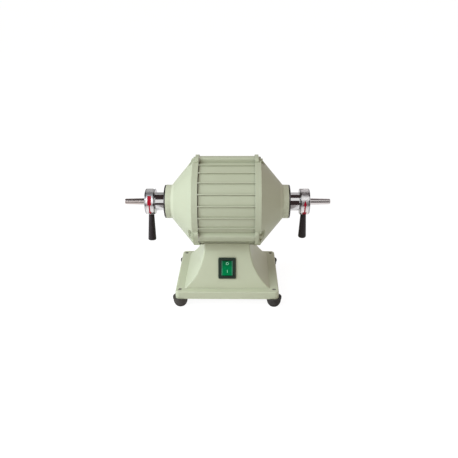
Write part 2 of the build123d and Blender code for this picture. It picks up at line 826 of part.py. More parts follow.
def switch_body():
    """Switch housing: bezel on the panel and a box behind it, with a well for the rocker."""
    bezel = extrude(RectangleRounded(bezel_width, bezel_height, bezel_round), bezel_thick)
    bezel = fillet(bezel.faces().sort_by(Axis.Z)[-1].edges(), bezel_thick / 3)
    housing = Pos(0, 0, -switch_depth) * block(switch_body_width, switch_body_height, switch_depth)
    well_width = rocker_width + 2 * rocker_gap
    well_height = 2 * (rocker_swing_r + rocker_gap)
    well = Pos(0, 0, -rocker_floor) * block(well_width, well_height, rocker_floor + 2 * bezel_thick)
    pivot = Pos(0, 0, -rocker_pivot_depth) * Rot(0, 90, 0) * Cylinder(
        trunnion_d / 2 + fit_gap, rocker_width + 2 * (trunnion_length + slip_gap)
    )
    body = bezel + housing - well - pivot
    blade_slot = Pos(0, 0, -switch_depth) * block(
        blade_width + 2 * fit_gap, blade_thick + 2 * fit_gap, blade_length / 2 + fit_gap
    )
    body -= [Pos(x, y, 0) * blade_slot for x, y in corner_points(blade_spread_x, blade_spread_y)]
    return switch_plane * body


def switch_rocker():
    """Rocker with two facets in a shallow V, resting with its upper half pressed in."""
    slope = math.tan(math.radians(rocker_half_angle))
    valley = rocker_valley + rocker_pivot_depth
    spread = 1.0 + slope ** 2
    reach = math.sqrt((valley * slope) ** 2 - spread * (valley ** 2 - rocker_swing_r ** 2))
    top = (reach - valley * slope) / spread
    rise = valley + top * slope
    low = math.sqrt(rocker_swing_r ** 2 - rocker_body ** 2)
    outline = Line((-low, -rocker_body), (low, -rocker_body))
    outline += ThreePointArc((low, -rocker_body), (rocker_swing_r, 0), (top, rise))
    outline += Polyline((top, rise), (0, valley), (-top, rise))
    outline += ThreePointArc((-top, rise), (-rocker_swing_r, 0), (-low, -rocker_body))
    rocker = extrude(Plane.YZ * make_face(outline), rocker_width / 2, both=True)
    upper_edges = rocker.edges().filter_by(Axis.X).group_by(Axis.Z)[-1]
    rocker = fillet(upper_edges, rocker_round)
    rocker += Rot(0, 90, 0) * Cylinder(trunnion_d / 2, rocker_width + 2 * trunnion_length)
    return switch_plane * Pos(0, 0, -rocker_pivot_depth) * Rot(-rocker_half_angle, 0, 0) * rocker


def switch_terminals():
    """Push-on blades at the back of the switch."""
    blade = Pos(0, 0, -switch_depth - blade_length) * block(blade_width, blade_thick, 1.5 * blade_length)
    blade_hole = Rot(90, 0, 0) * Cylinder(blade_hole_d / 2, 4 * blade_thick)
    blade -= Pos(0, 0, -switch_depth - 0.7 * blade_length) * blade_hole
    return [switch_plane * Pos(x, y, 0) * blade for x, y in corner_points(blade_spread_x, blade_spread_y)]


def cable_gland():
    """Cord inlet: hexagon and dome outside, thread through the rear panel."""
    hex_part = hexagon(gland_flats, gland_hex_height)
    dome = Pos(0, 0, gland_hex_height) * Cone(
        gland_dome_d / 2, gland_dome_end_d / 2, gland_dome_height,
        align=(Align.CENTER, Align.CENTER, Align.MIN),
    )
    dome = fillet(dome.faces().sort_by(Axis.Z)[-1].edges(), edge_round)
    thread = Pos(0, 0, -gland_thread_length) * upright(gland_thread_d / 2, gland_thread_length)
    bore = Pos(0, 0, -gland_thread_length) * upright(gland_bore_d / 2, 4 * gland_thread_length)
    return gland_plane * (hex_part + dome + thread - bore)


def gland_locknut():
    """Nut that holds the gland from inside the pedestal."""
    nut = hexagon(locknut_flats, locknut_height) - upright(gland_thread_d / 2 + fit_gap, locknut_height)
    return gland_plane * Pos(0, 0, -base_wall - locknut_height) * nut


def capacitor_axis_height():
    """Height of the capacitor's middle line over the bottom plate."""
    return plate_top + capacitor_lift + capacitor_r


def run_capacitor():
    """Can that lies along X at the back of the pedestal."""
    can = upright(capacitor_r, capacitor_length)
    can = fillet(can.edges(), capacitor_rim)
    stub = Pos(0, 0, capacitor_length) * block(blade_thick, blade_width, blade_length)
    can += [Pos(0, y, 0) * stub for y in (-blade_spread_x, blade_spread_x)]
    place = Pos(-capacitor_length / 2, capacitor_y, capacitor_axis_height()) * Rot(0, 90, 0)
    return place * can


def capacitor_clip():
    """Open spring clip that holds the can on the bottom plate."""
    inner_r = capacitor_r + fit_gap
    outer_r = inner_r + clip_thick
    band = Rot(0, 90, 0) * (Cylinder(outer_r, clip_width) - Cylinder(inner_r, 2 * clip_width))
    mouth = 2 * outer_r * math.sin(math.radians(clip_open_angle / 2))
    band -= block(2 * clip_width, mouth, 2 * outer_r)
    post_height = capacitor_lift + clip_thick
    post = Pos(0, 0, -capacitor_r - capacitor_lift) * block(clip_width, clip_foot_width, post_height)
    post -= Rot(0, 90, 0) * Cylinder(inner_r, 2 * clip_width)
    return Pos(0, capacitor_y, capacitor_axis_height()) * (band + post)


def terminal_block():
    """Screw terminal strip on the bottom plate."""
    strip = block(block_length, block_depth, block_height)
    strip = fillet(strip.edges().filter_by(Axis.Z), edge_round)
    pitch = block_length / block_poles
    well = Pos(0, 0, block_height - block_pole_depth) * upright(block_pole_d / 2, block_height)
    wells = [Pos((i - (block_poles - 1) / 2) * pitch, 0, 0) * well for i in range(block_poles)]
    return Pos(0, block_y, plate_top) * (strip - wells)


def all_nodes():
    """Every piece by its name: one solid, or a list of like solids."""
    nodes = {
        "base_casting": base_casting(),
        "bottom_plate": bottom_plate(),
        "bottom_plate_screws": bottom_plate_screws(),
        "rubber_feet": rubber_feet(),
        "foot_screws": foot_screws(),
        "motor_mount_screws": motor_mount_screws(),
        "switch_body": switch_body(),
        "switch_rocker": switch_rocker(),
        "switch_terminals": switch_terminals(),
        "cable_gland": cable_gland(),
        "gland_locknut": gland_locknut(),
        "run_capacitor": run_capacitor(),
        "capacitor_clip": capacitor_clip(),
        "terminal_block": terminal_block(),
        "motor_body": motor_body(),
        "tie_bolts": tie_bolts(),
        "tie_bolt_nuts": tie_bolt_nuts(),
        "stator_core": stator_core(),
        "rotor_core": rotor_core(),
        "rotor_end_rings": rotor_end_rings(),
        "motor_shaft": motor_shaft(),
        "wave_washer": wave_washer(),
    }
    for side, place in sides.items():
        nodes[side + "_end_bell"] = place(end_bell())
        nodes[side + "_winding"] = place(winding())
        for name, shape in bearing(side).items():
            shapes = shape if isinstance(shape, list) else [shape]
            nodes[side + "_bearing_" + name] = [place(s) for s in shapes]
        for name, shape in spindle_nose(side).items():
            nodes[side + "_" + name] = shape
    return nodes


for node_name, node_shape in all_nodes().items():
    pieces = node_shape if isinstance(node_shape, list) else [node_shape]
    solids = [solid for piece in pieces for solid in piece.solids()]
    export_step(Compound(solids), os.path.join("parts", node_name + ".step"))
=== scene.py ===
# %% [markdown]
# # A bench polishing motor in Blender
#
# The machine is a round, finned motor on a cast pedestal. A tapered spindle comes out of each end,
# and behind each spindle a chrome collar with a black lever pushes the polishing wheel off its taper.
# Every solid was made to size beforehand and is loaded here as a fixed frame. This lesson gives each
# surface its finish, paints the marks on, and sets up the table, the lamps and the camera.

# %% Load the fixed frame
import json
import math

import bmesh
import bpy
from mathutils import Matrix, Vector


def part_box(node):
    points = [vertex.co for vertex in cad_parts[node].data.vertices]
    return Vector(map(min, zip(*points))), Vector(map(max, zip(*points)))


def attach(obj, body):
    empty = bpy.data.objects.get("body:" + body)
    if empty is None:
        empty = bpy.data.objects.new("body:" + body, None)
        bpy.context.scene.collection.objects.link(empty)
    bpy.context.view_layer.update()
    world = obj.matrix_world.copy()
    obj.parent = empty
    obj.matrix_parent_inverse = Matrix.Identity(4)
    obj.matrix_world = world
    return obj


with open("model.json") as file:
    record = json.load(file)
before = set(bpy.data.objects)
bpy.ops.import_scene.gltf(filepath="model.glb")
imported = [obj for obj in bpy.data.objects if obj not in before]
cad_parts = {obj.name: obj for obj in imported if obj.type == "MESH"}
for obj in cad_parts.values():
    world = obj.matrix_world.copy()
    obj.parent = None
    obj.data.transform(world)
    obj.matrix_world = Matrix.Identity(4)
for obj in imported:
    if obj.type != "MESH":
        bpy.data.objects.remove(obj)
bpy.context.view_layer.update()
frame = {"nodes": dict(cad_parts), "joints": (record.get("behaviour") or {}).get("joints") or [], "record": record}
nodes = frame["nodes"]

# %% [markdown]
# ## Nodes that read as arithmetic
#
# Materials and Geometry Nodes are both node trees, and both can be wired by hand, one link at a time.
# That is hard to read back. Here one small class stands for a node's output and understands plain
# arithmetic and comparison, so a line such as `0.4 + 0.1 * smudge` adds the Math nodes by itself. Any
# other node comes from one method, which sets the node's settings first and its sockets afterwards.


# %% A wire and the board it belongs to
class Wire:
    """One output of a node, for use in plain expressions."""

    def __init__(self, board, socket):
        self.board = board
        self.socket = socket

    def calc(self, operation, first, second=0.0):
        return self.board.node("ShaderNodeMath", {"operation": operation}, {0: first, 1: second})

    def __add__(self, other):
        return self.calc("ADD", self, other)

    def __sub__(self, other):
        return self.calc("SUBTRACT", self, other)

    def __rsub__(self, other):
        return self.calc("SUBTRACT", other, self)

    def __mul__(self, other):
        return self.calc("MULTIPLY", self, other)

    def __truediv__(self, other):
        return self.calc("DIVIDE", self, other)

    def __gt__(self, other):
        return self.calc("GREATER_THAN", self, other)

    def absolute(self):
        return self.calc("ABSOLUTE", self)

    def sine(self):
        return self.calc("SINE", self)

    def cosine(self):
        return self.calc("COSINE", self)

    def limited(self):
        return self.calc("MINIMUM", self.calc("MAXIMUM", self, 0.0), 1.0)

    __radd__ = __add__
    __rmul__ = __mul__


class Board:
    """A node tree while it is being wired."""

    def __init__(self, tree):
        self.tree = tree
        tree.nodes.clear()

    def node(self, kind, settings=None, sockets=None, out=0):
        made = self.tree.nodes.new(kind)
        for name, value in (settings or {}).items():
            setattr(made, name, value)
        for name, value in (sockets or {}).items():
            for one in value if isinstance(value, list) else [value]:
                if isinstance(one, Wire):
                    self.tree.links.new(one.socket, made.inputs[name])
                else:
                    made.inputs[name].default_value = one
        return Wire(self, made.outputs[out]) if len(made.outputs) else made

    def part_of(self, vector, axis):
        """One coordinate of a vector."""
        return self.node("ShaderNodeSeparateXYZ", {}, {"Vector": vector}, out=axis)


print("boards ready")

# %% [markdown]
# ## What all finishes share
#
# A finish reads Object coordinates. Every solid sits at the frame's origin, so these are plain metres
# on the real machine, and a scale of 900 means a grain of about a millimetre. Most surfaces need the
# same few things: a noise, a mix of two tones, a mask for worn edges and a mask for grimy corners.


# %% A finish with its usual ingredients
class Finish(Board):
    """A material whose patterns follow the machine in metres."""

    def __init__(self, name):
        self.material = bpy.data.materials.new(name)
        self.material.use_nodes = True
        super().__init__(self.material.node_tree)
        self.place = self.node("ShaderNodeTexCoord", out="Object")

    def noise(self, scale, detail=2.0, stretch=(1.0, 1.0, 1.0)):
        """Soft random values from 0 to 1; a larger scale or stretch makes them finer."""
        place = self.node("ShaderNodeMapping", {}, {"Vector": self.place, "Scale": stretch})
        return self.node("ShaderNodeTexNoise", {}, {"Vector": place, "Scale": scale, "Detail": detail})

    def from_middle(self):
        """Distance along the shaft from the machine's middle, in metres."""
        return self.part_of(self.place, "X").absolute()

    def mix(self, mask, first, second):
        """Two colours mixed by a mask."""
        colours = [c if isinstance(c, Wire) else (*c, 1.0) for c in (first, second)]
        settings = {"data_type": "RGBA"}
        return self.node("ShaderNodeMix", settings, {0: mask, 6: colours[0], 7: colours[1]}, out=2)

    def soft_edges(self, radius):
        """Normals rounded over sharp edges, as on a casting or a moulding."""
        return self.node("ShaderNodeBevel", {"samples": 6}, {"Radius": radius}, out="Normal")

    def edges(self, radius, gain):
        """Mask that is 1 along edges and 0 on open faces."""
        flat = self.node("ShaderNodeNewGeometry", out="Normal")
        pair = {0: self.soft_edges(radius), 1: flat}
        facing = self.node("ShaderNodeVectorMath", {"operation": "DOT_PRODUCT"}, pair, out="Value")
        return ((1.0 - facing) * gain).limited()

    def corners(self, distance):
        """Mask that is 1 deep in a corner and 0 on open faces."""
        sockets = {"Distance": distance}
        open_sky = self.node("ShaderNodeAmbientOcclusion", {"samples": 8}, sockets, out="AO")
        return 1.0 - open_sky

    def bump(self, height, strength, distance, edge=None):
        """Small relief from a height, with edges rounded where a radius is given for them."""
        sockets = {"Strength": strength, "Distance": distance, "Height": height}
        if edge is not None:
            sockets["Normal"] = self.soft_edges(edge)
        return self.node("ShaderNodeBump", {}, sockets)

    def surface(self, **sockets):
        """Closes the finish with one shader; a name such as base_color stands for Base Color."""
        named = {}
        for name, value in sockets.items():
            named[name.replace("_", " ").title().replace("Ior", "IOR")] = value
        shader = self.node("ShaderNodeBsdfPrincipled", {}, named)
        self.node("ShaderNodeOutputMaterial", {}, {"Surface": shader})
        return self.material


finishes = {}
print("finish tools ready")

# %% [markdown]
# ## The sage-green paint
#
# The castings are sprayed with pale grey-green paint. A flat colour looks like a drawing, because real
# paint varies: the coat is a little thicker in places, it has a fine orange-peel skin, it rubs paler
# along edges, it is thin on the turned noses, and dust settles in the corners between the fins; that
# corner mask also darkens wherever a spot is closed in, so it is dust and painted shade together. Each
# of these is one mask. The base was sprayed apart from the motor and came out a shade paler. The narrow
# faces of the barrel's rims that look back at the fins are painted dark as painted shade. Between the
# fins where they meet the left rim the rim's shadow is painted onto the barrel, and the fin tips there
# get a painted highlight.

# %% Where the paint changes, in metres, and its tones
spindle_height = 0.141
nose_start = 0.0767
barrel_half = 0.0397
# End of the painted shadow beside the left rim.
rim_shadow_end = 0.0390
rim_start = 0.0385
fin_middle_radius = 0.0629
thick_coat = (0.470, 0.500, 0.348)
thin_coat = (0.520, 0.553, 0.391)
nose_tone = (0.62, 0.64, 0.48)
rubbed_tone = (0.66, 0.69, 0.55)
# Painted highlight on the fin tips by the left rim.
tip_highlight = (0.80, 0.83, 0.70)
# Dust colour; through the corner mask it is also painted shade in closed-in spots.
dust_and_shade = (0.150, 0.152, 0.085)
# Painted shade for the rims' inner faces and for the left rim's painted shadow.
rim_shade = [0.4 * c for c in dust_and_shade]
print("grime:", [round(c, 3) for c in rim_shade])


# %% Colour of the sage-green paint
def sage_coat(finish, tone):
    """Colour of the paint: drifting tone, paler edges and noses, and dust with painted shade in tight corners."""
    thick, thin = [[tone * c for c in shade] for shade in (thick_coat, thin_coat)]
    sprayed = finish.mix(finish.noise(scale=14.0, detail=3.0), thick, thin)
    turned = finish.mix((finish.from_middle() > nose_start) * 0.42, sprayed, nose_tone)
    rubbed = finish.mix(finish.edges(radius=0.0011, gain=3.0) * 0.32, turned, rubbed_tone)
    return finish.mix((finish.corners(distance=0.0028) * 0.42).limited(), rubbed, dust_and_shade)


def looks_back(finish):
    """Mask of the faces near the barrel's ends that face the machine's middle."""
    facing = finish.part_of(finish.node("ShaderNodeNewGeometry", out="Normal"), "X")
    return (0.0 - finish.part_of(finish.place, "X") * facing) > rim_start


def beside_left_rim(finish, coat):
    """Paints the left rim's shadow between the fins by that rim, and a painted highlight on the fin tips there."""
    along, depth, height = [finish.part_of(finish.place, axis) for axis in "XYZ"]
    rise = height - spindle_height
    on_fin = (depth * depth + rise * rise) > fin_middle_radius ** 2
    inside = along > -barrel_half
    # Painted shadow of the left rim between the fins, and a painted highlight on the fin tips beside it.
    rim_shadow_mask = inside * (1.0 - (along > -rim_shadow_end)) * (1.0 - on_fin)
    worn = inside * (1.0 - (along > -rim_start)) * on_fin
    coat = finish.mix(rim_shadow_mask * 0.95, coat, rim_shade)
    return finish.mix(worn * 0.85, coat, tip_highlight)


print("paint masks ready")


# %% Sage-green paint on the castings
def sage_paint(name, tone, rims=False):
    """The whole paint, with its orange-peel skin; a piece with rims also gets painted shade and a painted
    highlight by its rims.
    """
    paint = Finish(name)
    orange_peel = paint.noise(scale=620.0, detail=1.0)
    coat = sage_coat(paint, tone)
    if rims:
        # Painted shade on the rim faces that look back at the fins.
        coat = paint.mix(looks_back(paint) * 0.90, coat, rim_shade)
        coat = beside_left_rim(paint, coat)
    return paint.surface(
        base_color=coat,
        roughness=0.36 + 0.16 * paint.noise(scale=55.0),
        specular_ior_level=0.42,
        normal=paint.bump(orange_peel, strength=0.10, distance=0.0004, edge=0.0007),
    )


motor_tone = 0.96
base_tone = 1.07
finishes["housing_paint"] = sage_paint("sage_paint", motor_tone)
barrel_paint = sage_paint("sage_paint_barrel", motor_tone, rims=True)
base_paint = sage_paint("sage_paint_base", base_tone)
print("paints:", [p.name for p in (finishes["housing_paint"], barrel_paint, base_paint)])

# %% [markdown]
# ## Chrome and turned steel
#
# The sleeves and collars are chrome plated and the shaft is bright turned steel. Both were made on a
# lathe, so the faint marks run round the shaft line. A noise that changes fast along X and slowly along
# Y and Z gives rings without any modelling. Chrome hides them almost fully and steel shows them. The
# left spindle is a little tarnished, and the right one is polished by use. Screws and small plates are
# zinc plated, which is duller and slightly yellow.

# %% Chrome
chrome_turning = (2400.0, 25.0, 25.0)
chrome = Finish("chrome_plate")
chrome_rings = chrome.noise(scale=1.0, detail=2.0, stretch=chrome_turning)
finishes["chrome"] = chrome.surface(
    base_color=chrome.mix(chrome.noise(scale=120.0), (0.66, 0.655, 0.66), (0.73, 0.725, 0.72)),
    metallic=1.0,
    roughness=0.055 + 0.06 * chrome.noise(scale=70.0, detail=3.0),
    normal=chrome.bump(chrome_rings, strength=0.035, distance=0.0002, edge=0.0004),
)
print("chrome:", chrome.material.name)

# %% Turned steel
steel_turning = (1700.0, 20.0, 20.0)
spindle_start = 0.112
steel = Finish("turned_steel")
steel_rings = steel.noise(scale=1.0, detail=3.0, stretch=steel_turning)
shaft_x = steel.part_of(steel.place, "X")
turned_tone = steel.mix(steel.noise(scale=90.0, detail=3.0), (0.54, 0.51, 0.50), (0.63, 0.60, 0.59))
polished = steel.mix((shaft_x > spindle_start) * 0.6, turned_tone, (0.78, 0.73, 0.72))
at_left_end = 1.0 - (shaft_x > -spindle_start)
finishes["steel"] = steel.surface(
    base_color=steel.mix(at_left_end * 0.6, polished, (0.49, 0.39, 0.355)),
    metallic=1.0,
    roughness=0.12 + 0.10 * steel_rings,
    normal=steel.bump(steel_rings, strength=0.09, distance=0.0002, edge=0.0003),
)
print("steel:", steel.material.name)

# %% Zinc plate
fresh_zinc = (0.46, 0.42, 0.33)
dull_zinc = (0.42, 0.41, 0.38)
brown_grime_and_shade = (0.05, 0.045, 0.035)
zinc = Finish("zinc_plate")
passivated = zinc.mix(zinc.noise(scale=160.0, detail=3.0), fresh_zinc, dull_zinc)
finishes["zinc"] = zinc.surface(
    # Brown grime and painted shade in the corners, from the corner mask.
    base_color=zinc.mix(zinc.corners(distance=0.002) * 0.8, passivated, brown_grime_and_shade),
    metallic=1.0,
    roughness=0.30 + 0.18 * zinc.noise(scale=220.0),
    normal=zinc.soft_edges(radius=0.0003),
)
print("zinc:", zinc.material.name)

# %% [markdown]
# ## Rubber, black plastic and the green rocker
#
# Black is never quite black: rubber carries a grey bloom of dust, and the left feet are painted paler as
# painted light from the lamps at the left. Moulded plastic has a fine spark-eroded grain that breaks up
# its highlight. The rocker is clear green plastic. Its upper end is pressed in and darkened with painted
# shade, its edges get a painted highlight and painted shade in the corners by the well, and the bezel
# round it is tinted green throughout as painted light from the rocker.

# %% Rubber feet
rubber = Finish("foot_rubber")
bloom = rubber.noise(scale=190.0, detail=4.0)
rubber_grain = rubber.noise(scale=1100.0, detail=2.0)
worn_rubber = rubber.mix(bloom, (0.023, 0.020, 0.018), (0.064, 0.058, 0.052))
# The left feet are painted paler: painted light from the lamps at the left.
lit_left_feet = 1.0 - (rubber.part_of(rubber.place, "X") > 0.0)
finishes["black_rubber"] = rubber.surface(
    base_color=rubber.mix(lit_left_feet * 0.45, worn_rubber, (0.098, 0.088, 0.070)),
    roughness=0.55 + 0.25 * bloom,
    specular_ior_level=0.35,
    normal=rubber.bump(rubber_grain, strength=0.25, distance=0.0003, edge=0.0006),
)
print("rubber:", rubber.material.name)


# %% Dark moulded plastic for the cable gland, the grips and the switch
def moulded(name, deep, worn, rubbed):
    """Dark moulded plastic from its deep, worn and rubbed tones."""
    plastic = Finish(name)
    spark_grain = plastic.noise(scale=1900.0, detail=1.0)
    scuffed = plastic.mix(plastic.noise(scale=140.0, detail=3.0), deep, worn)
    return plastic.surface(
        base_color=plastic.mix(plastic.edges(radius=0.0006, gain=2.0) * 0.3, scuffed, rubbed),
        roughness=0.36 + 0.16 * spark_grain,
        specular_ior_level=0.30,
        normal=plastic.bump(spark_grain, strength=0.14, distance=0.0002, edge=0.0005),
    )


finishes["black_plastic"] = moulded(
    "black_plastic",
    deep=(0.010, 0.009, 0.010),
    worn=(0.020, 0.018, 0.019),
    rubbed=(0.070, 0.066, 0.066),
)
grip_plastic = moulded(
    "grip_plastic",
    deep=(0.014, 0.009, 0.009),
    worn=(0.026, 0.018, 0.019),
    rubbed=(0.080, 0.066, 0.066),
)
# The bezel is tinted green throughout: painted light from the rocker.
green_lit_bezel = moulded(
    "green_lit_bezel",
    deep=(0.010, 0.022, 0.012),
    worn=(0.020, 0.034, 0.021),
    rubbed=(0.060, 0.074, 0.060),
)
print("mouldings:", [m.name for m in (finishes["black_plastic"], grip_plastic, green_lit_bezel)])

# %% Size and hinge of the rocker
rocker_half_width = 0.0080
# Width of the painted highlight along the rocker's long edges.
edge_highlight_width = 0.0011
rocker_hinge = next(j for j in frame["joints"] if j["name"] == "rocker_tilt")
pivot = Vector(rocker_hinge["pos_m"])
rocker_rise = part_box("switch_rocker")[1].z - pivot.z
print("rocker rises mm", round(1000 * rocker_rise, 2))

# %% Clear green plastic of the rocker
shade_start = 0.15
shade_gain = 0.65
rocker_green = Finish("green_plastic")
# Painted shade: the rocker darkens towards its upper end, where the bezel's lip shades it.
climb = (rocker_green.part_of(rocker_green.place, "Z") - pivot.z) / rocker_rise
painted_top_shade = ((climb - shade_start) * shade_gain).limited()
clouds = rocker_green.noise(scale=260.0, detail=2.0)
lit_depth = rocker_green.mix(clouds, (0.0, 0.158, 0.047), (0.0, 0.216, 0.067))
top_shaded_green = rocker_green.mix(painted_top_shade, lit_depth, (0.004, 0.012, 0.008))
# Painted highlight along the rocker's edges, and painted shade in the corners by the well.
edge_highlight_mask = rocker_green.edges(radius=0.0011, gain=3.0)
lit_edges = rocker_green.mix(edge_highlight_mask * 0.6, top_shaded_green, (0.02, 0.40, 0.17))
well_shade = (rocker_green.corners(distance=0.004) * 1.3).limited()
shaded = rocker_green.mix(well_shade, lit_edges, (0.0, 0.022, 0.010))
# Painted highlight along the rocker's two long edges.
long_edge_highlight = rocker_green.from_middle() > rocker_half_width - edge_highlight_width
finishes["green_rocker"] = rocker_green.surface(
    base_color=rocker_green.mix(long_edge_highlight * 0.55, shaded, (0.15, 0.36, 0.27)),
    roughness=0.24 + 0.06 * rocker_green.noise(scale=400.0),
    specular_ior_level=0.04,
    normal=rocker_green.soft_edges(radius=0.0006),
)
print("rocker:", rocker_green.material.name)

# %% [markdown]
# ## What is inside
#
# The castings hide the laminations, the copper, the bearings' cages, the capacitor and the terminal
# strip, but someone may take the machine apart, so these get real finishes too. Laminations are thin
# sheets stacked along the shaft: a sine of X at the sheet's pitch draws their edges.

# %% Laminations
sheet_pitch = 0.0005
sheets = Finish("stamped_sheets")
along = sheets.part_of(sheets.place, "X")
sheet_edge = 0.5 + 0.5 * (along * (2.0 * math.pi / sheet_pitch)).sine()
finishes["lamination"] = sheets.surface(
    base_color=sheets.mix(sheets.noise(scale=80.0, detail=3.0), (0.17, 0.17, 0.19), (0.27, 0.27, 0.29)),
    metallic=0.9,
    roughness=0.40 + 0.12 * sheets.noise(scale=200.0),
    normal=sheets.bump(sheet_edge, strength=0.3, distance=0.0001),
)
print("laminations:", sheets.material.name)

# %% Copper and brass
wound_wire = (1500.0, 180.0, 180.0)
copper = Finish("varnished_copper")
strands = copper.noise(scale=1.0, detail=2.0, stretch=wound_wire)
finishes["copper"] = copper.surface(
    base_color=copper.mix(strands, (0.36, 0.10, 0.03), (0.62, 0.25, 0.10)),
    metallic=0.85,
    roughness=0.26 + 0.2 * strands,
    normal=copper.bump(strands, strength=0.6, distance=0.0004),
)

brass = Finish("sheet_brass")
finishes["brass"] = brass.surface(
    base_color=brass.mix(brass.noise(scale=150.0, detail=3.0), (0.55, 0.38, 0.12), (0.70, 0.52, 0.20)),
    metallic=1.0,
    roughness=0.24 + 0.16 * brass.noise(scale=300.0),
    normal=brass.soft_edges(radius=0.0002),
)
print("yellow metals:", copper.material.name, brass.material.name)

# %% Cast aluminium of the rotor's end rings
aluminium = Finish("cast_aluminium")
cast_skin = aluminium.noise(scale=500.0, detail=3.0)
finishes["cast_aluminium"] = aluminium.surface(
    base_color=aluminium.mix(cast_skin, (0.52, 0.52, 0.53), (0.68, 0.68, 0.69)),
    metallic=1.0,
    roughness=0.38 + 0.2 * cast_skin,
    normal=aluminium.bump(cast_skin, strength=0.2, distance=0.0003, edge=0.0004),
)
print("aluminium:", aluminium.material.name)

# %% Capacitor and terminal strip
can = Finish("capacitor_moulding")
finishes["capacitor_case"] = can.surface(
    base_color=can.mix(can.noise(scale=60.0, detail=3.0), (0.58, 0.58, 0.56), (0.70, 0.70, 0.68)),
    roughness=0.45 + 0.1 * can.noise(scale=300.0),
    normal=can.bump(can.noise(scale=1200.0), strength=0.06, distance=0.0002, edge=0.0004),
)

strip = Finish("terminal_moulding")
finishes["terminal_plastic"] = strip.surface(
    base_color=strip.mix(strip.noise(scale=70.0, detail=3.0), (0.66, 0.63, 0.55), (0.78, 0.75, 0.67)),
    roughness=0.42 + 0.1 * strip.noise(scale=260.0),
    normal=strip.bump(strip.noise(scale=1400.0), strength=0.06, distance=0.0002, edge=0.0004),
)
print("finishes:", sorted(finishes))

# %% [markdown]
# ## Finishes that differ from their slot
#
# The tie bolts are zinc plated, but the machine was sprayed after it was put together, so their heads
# and nuts are sage green outside the bells and plain metal inside. The lever collars are chrome too,
# but the band that carries the arrow is satin, and only the edges beside it are polished. A mask of the
# distance along the shaft splits both. The rear foot screws, which sit in the pedestal's shadow, are
# painted dark brown and dull as painted shade, and the rings at the noses are blued steel.

# %% Overpainted bolts
bell_face = 0.0470
bolts = Finish("overpainted_bolts")
outside = bolts.from_middle() > bell_face
overpainted = bolts.surface(
    base_color=bolts.mix(outside, (0.46, 0.43, 0.36), sage_coat(bolts, motor_tone)),
    metallic=1.0 - outside,
    roughness=0.34 + 0.10 * outside,
    normal=bolts.soft_edges(radius=0.0004),
)
print("bolts:", overpainted.name)

# %% Banded collars
band_half = 0.0052
low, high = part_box("right_lever_collar")
collar_middle = (low.x + high.x) / 2
banded = Finish("banded_chrome")
off_band = banded.from_middle() - collar_middle
satin = 1.0 - (off_band.absolute() > band_half)
collar_rings = banded.noise(scale=1.0, detail=2.0, stretch=chrome_turning)
banded_collar = banded.surface(
    base_color=banded.mix(satin, (0.46, 0.45, 0.45), (0.92, 0.90, 0.89)),
    metallic=1.0,
    roughness=0.06 + 0.04 * banded.noise(scale=70.0, detail=3.0) + 0.28 * satin,
    normal=banded.bump(collar_rings, strength=0.035, distance=0.0002, edge=0.0004),
)
print("collars:", banded_collar.name, "middle at mm", round(1000 * collar_middle, 2))

# %% Rear foot screws in painted shade, and blued rings
rear_screw_finish = Finish("shade_painted_screws")
# Painted shade: the screws behind the pedestal are darkened brown, on top of the grime and shade in their corners.
behind_pedestal = rear_screw_finish.part_of(rear_screw_finish.place, "Y") > 0.0
screw_plate = rear_screw_finish.mix(rear_screw_finish.noise(scale=160.0, detail=3.0), fresh_zinc, dull_zinc)
rear_shade_and_grime = (rear_screw_finish.corners(distance=0.002) * 0.8 + behind_pedestal * 0.85).limited()
shade_painted_screw = rear_screw_finish.surface(
    base_color=rear_screw_finish.mix(rear_shade_and_grime, screw_plate, brown_grime_and_shade),
    metallic=1.0 - behind_pedestal * 0.8,
    roughness=0.30 + 0.18 * rear_screw_finish.noise(scale=220.0) + 0.2 * behind_pedestal,
    normal=rear_screw_finish.soft_edges(radius=0.0003),
)

blued = Finish("blued_steel")
blueing = blued.noise(scale=300.0, detail=3.0)
blued_ring = blued.surface(
    base_color=blued.mix(blueing, (0.085, 0.080, 0.078), (0.150, 0.143, 0.138)),
    metallic=1.0,
    roughness=0.20 + 0.10 * blueing,
    normal=blued.soft_edges(radius=0.0003),
)
print("screws and rings:", shade_painted_screw.name, blued_ring.name)

# %% Give every solid its finish
own_finish = {
    "base_casting": base_paint,
    "motor_body": barrel_paint,
    "switch_body": green_lit_bezel,
    "foot_screws": shade_painted_screw,
    "tie_bolts": overpainted,
    "tie_bolt_nuts": overpainted,
    "left_lever_collar": banded_collar,
    "right_lever_collar": banded_collar,
    "left_nose_ring": blued_ring,
    "right_nose_ring": blued_ring,
    "left_lever_grip": grip_plastic,
    "right_lever_grip": grip_plastic,
}
for subpart in frame["record"]["subparts"]:
    for place in nodes[subpart["node"]].material_slots:
        place.material = own_finish.get(subpart["node"], finishes[subpart["material_slot"]])

# %% [markdown]
# ## The red arrows on the collars
#
# Each collar carries a red arrow that shows which way its lever releases the wheel: a broad bar, a thin
# shaft and a head. It is painted on a cylinder, so a flat cut-out would stand off the surface. A
# Geometry Nodes tree takes a strip of points, gives each its width along the arrow, rolls the strip
# round the shaft line and gives it a paint's thickness. The same tree makes both arrows from different
# angles. The top and the underside meet in doubled points, so these are welded and the faces turned
# outwards.

# %% Red and pale marking paint
red_mark = Finish("red_marking")
thin_paint = red_mark.noise(scale=420.0, detail=3.0)
red_paint = red_mark.surface(
    base_color=red_mark.mix(thin_paint, (0.29, 0.001, 0.013), (0.44, 0.004, 0.024)),
    roughness=0.32 + 0.15 * thin_paint,
    specular_ior_level=0.15,
)

pale_mark = Finish("pale_marking")
worn_pale = pale_mark.noise(scale=500.0, detail=3.0)
pale_paint = pale_mark.surface(
    base_color=pale_mark.mix(worn_pale, (0.34, 0.84, 0.55), (0.46, 0.92, 0.66)),
    roughness=0.38 + 0.15 * worn_pale,
)
print("marking paints:", red_paint.name, pale_paint.name)

# %% A tree that rolls an arrow round the shaft line
points_along = 241
points_across = 5


